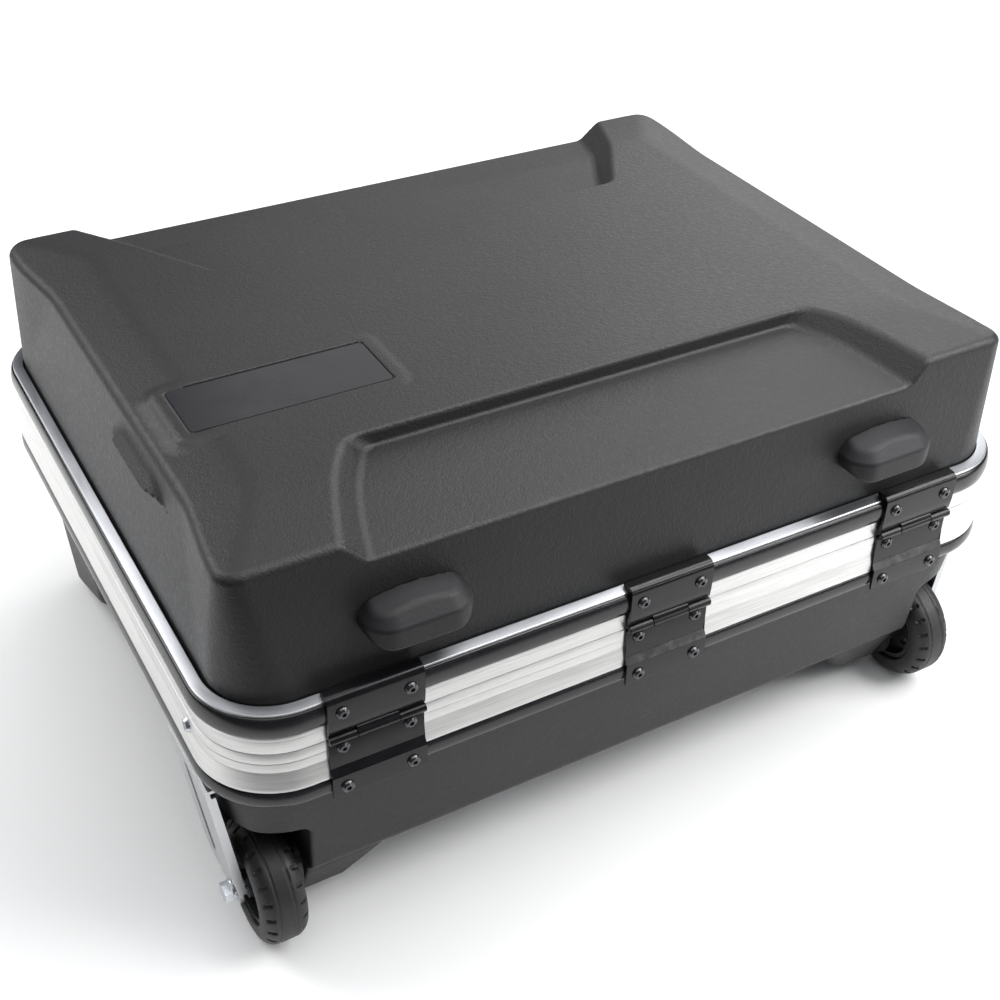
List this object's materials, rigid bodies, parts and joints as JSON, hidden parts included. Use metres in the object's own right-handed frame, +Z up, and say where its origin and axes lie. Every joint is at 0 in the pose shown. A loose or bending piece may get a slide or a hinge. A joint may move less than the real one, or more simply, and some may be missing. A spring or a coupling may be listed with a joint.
{
  "type": "wheeled hard tool case",
  "caption": "Rigid black wheeled tool case with a hinged stepped lid, aluminium frame band, rubber beads, latches, carrying handle and pull-out trolley.",
  "frame": {"origin": "on the floor under the middle of the closed case", "axes": "+Z up, +X along the case's length, +Y towards the hinges and wheels, -Y towards the latches and handle"},
  "size_m": [0.5272, 0.436, 0.28],
  "materials": {
    "painted_shell": "grained, dull",
    "frame_metal": "brushed along the frame",
    "seam_rubber": "smooth, dull",
    "foot_rubber": "dull",
    "label_plastic": "bare, satin",
    "hinge_paint": "black, satin",
    "screw_black": "blackened",
    "zinc": "bright zinc",
    "latch_chrome": "polished",
    "plate_steel": "brushed",
    "hub_plastic": "moulded",
    "tyre_rubber": "treaded",
    "grip_plastic": "moulded, grained",
    "tube_aluminium": "anodised",
    "button_plastic": "moulded"
  },
  "bodies": {
    "base": {"base_shell": "painted_shell", "base_frame": "frame_metal", "base_bead": "seam_rubber", "frame_seal": "seam_rubber", "hinge_base_leaf_left": "hinge_paint", "hinge_base_leaf_middle": "hinge_paint", "hinge_base_leaf_right": "hinge_paint", "hinge_pins": "zinc", "hinge_base_screws": "screw_black", "base_feet": "foot_rubber", "stay_pivot_screws": "zinc", "latch_plate_left": "latch_chrome", "latch_plate_right": "latch_chrome", "handle_brackets": "latch_chrome", "handle_pins": "zinc", "handle_screws": "screw_black", "wheel_carrier_left": "hub_plastic", "wheel_carrier_right": "hub_plastic", "wheel_plate_left": "plate_steel", "wheel_plate_right": "plate_steel", "wheel_plate_rivets": "zinc", "axle_bolt_left": "zinc", "axle_bolt_right": "zinc", "axle_spacers": "zinc", "trolley_outer_tubes": "tube_aluminium", "trolley_clamps": "hub_plastic", "trolley_clamp_screws": "screw_black", "trolley_guides": "hub_plastic"},
    "lid": {"lid_shell": "painted_shell", "lid_frame": "frame_metal", "lid_bead": "seam_rubber", "lid_foot_left": "foot_rubber", "lid_foot_right": "foot_rubber", "label_plate": "label_plastic", "hinge_lid_leaf_left": "hinge_paint", "hinge_lid_leaf_middle": "hinge_paint", "hinge_lid_leaf_right": "hinge_paint", "hinge_lid_screws": "screw_black", "latch_catches": "latch_chrome", "lid_stay_studs": "zinc"},
    "stay_left": {"stay_arm_left": "zinc"},
    "stay_right": {"stay_arm_right": "zinc"},
    "latch_left": {"latch_lever_left": "latch_chrome"},
    "latch_right": {"latch_lever_right": "latch_chrome"},
    "lock_left": {"latch_lock_left": "latch_chrome"},
    "lock_right": {"latch_lock_right": "latch_chrome"},
    "handle": {"carry_handle": "latch_chrome", "handle_grip": "grip_plastic"},
    "wheel_left": {"wheel_hub_left": "hub_plastic", "tyre_left": "tyre_rubber"},
    "wheel_right": {"wheel_hub_right": "hub_plastic", "tyre_right": "tyre_rubber"},
    "trolley_middle": {"trolley_middle_tubes": "tube_aluminium", "trolley_middle_collars": "hub_plastic"},
    "trolley_inner": {"trolley_inner_tubes": "tube_aluminium", "trolley_grip": "grip_plastic"},
    "trolley_button": {"trolley_button": "button_plastic"}
  },
  "joints": [
    {"name": "lid_hinge", "type": "hinge", "parent": "base", "child": "lid", "pos_m": [0, 0.2133, 0.16949], "axis": [-1, 0, 0], "range_deg": [0, 95]},
    {"name": "stay_pivot_left", "type": "hinge", "parent": "base", "child": "stay_left", "pos_m": [-0.2445, 0.156, 0.1569], "axis": [-1, 0, 0], "range_deg": [0, 104]},
    {"name": "latch_lever_left_pivot", "type": "hinge", "parent": "base", "child": "latch_left", "pos_m": [-0.165, -0.2152, 0.1519], "axis": [1, 0, 0], "range_deg": [0, 100]},
    {"name": "lock_left_turn", "type": "hinge", "parent": "latch_left", "child": "lock_left", "pos_m": [-0.165, -0.215, 0.1669], "axis": [0, -1, 0], "range_deg": [0, 90]},
    {"name": "stay_pivot_right", "type": "hinge", "parent": "base", "child": "stay_right", "pos_m": [0.2445, 0.156, 0.1569], "axis": [-1, 0, 0], "range_deg": [0, 104]},
    {"name": "latch_lever_right_pivot", "type": "hinge", "parent": "base", "child": "latch_right", "pos_m": [0.165, -0.2152, 0.1519], "axis": [1, 0, 0], "range_deg": [0, 100]},
    {"name": "lock_right_turn", "type": "hinge", "parent": "latch_right", "child": "lock_right", "pos_m": [0.165, -0.215, 0.1669], "axis": [0, -1, 0], "range_deg": [0, 90]},
    {"name": "handle_swing", "type": "hinge", "parent": "base", "child": "handle", "pos_m": [0, -0.2158, 0.1599], "axis": [-1, 0, 0], "range_deg": [0, 95]},
    {"name": "wheel_left_spin", "type": "hinge", "parent": "base", "child": "wheel_left", "pos_m": [-0.234, 0.172, 0.0385], "axis": [1, 0, 0], "continuous": true},
    {"name": "wheel_right_spin", "type": "hinge", "parent": "base", "child": "wheel_right", "pos_m": [0.234, 0.172, 0.0385], "axis": [1, 0, 0], "continuous": true},
    {"name": "trolley_middle_slide", "type": "slide", "parent": "base", "child": "trolley_middle", "axis": [0, -1, 0], "range_m": [0, 0.27]},
    {"name": "trolley_inner_slide", "type": "slide", "parent": "trolley_middle", "child": "trolley_inner", "axis": [0, -1, 0], "range_m": [0, 0.27]},
    {"name": "trolley_button_press", "type": "slide", "parent": "trolley_inner", "child": "trolley_button", "axis": [0, 1, 0], "range_m": [0, 0.002], "stiffness_N_per_m": 400, "springref_m": -0.0005}
  ],
  "couplings": [
    {"joint": "stay_pivot_left", "follows": "lid_hinge", "ratio": 1.0777},
    {"joint": "stay_pivot_right", "follows": "lid_hinge", "ratio": 1.0777}
  ]
}
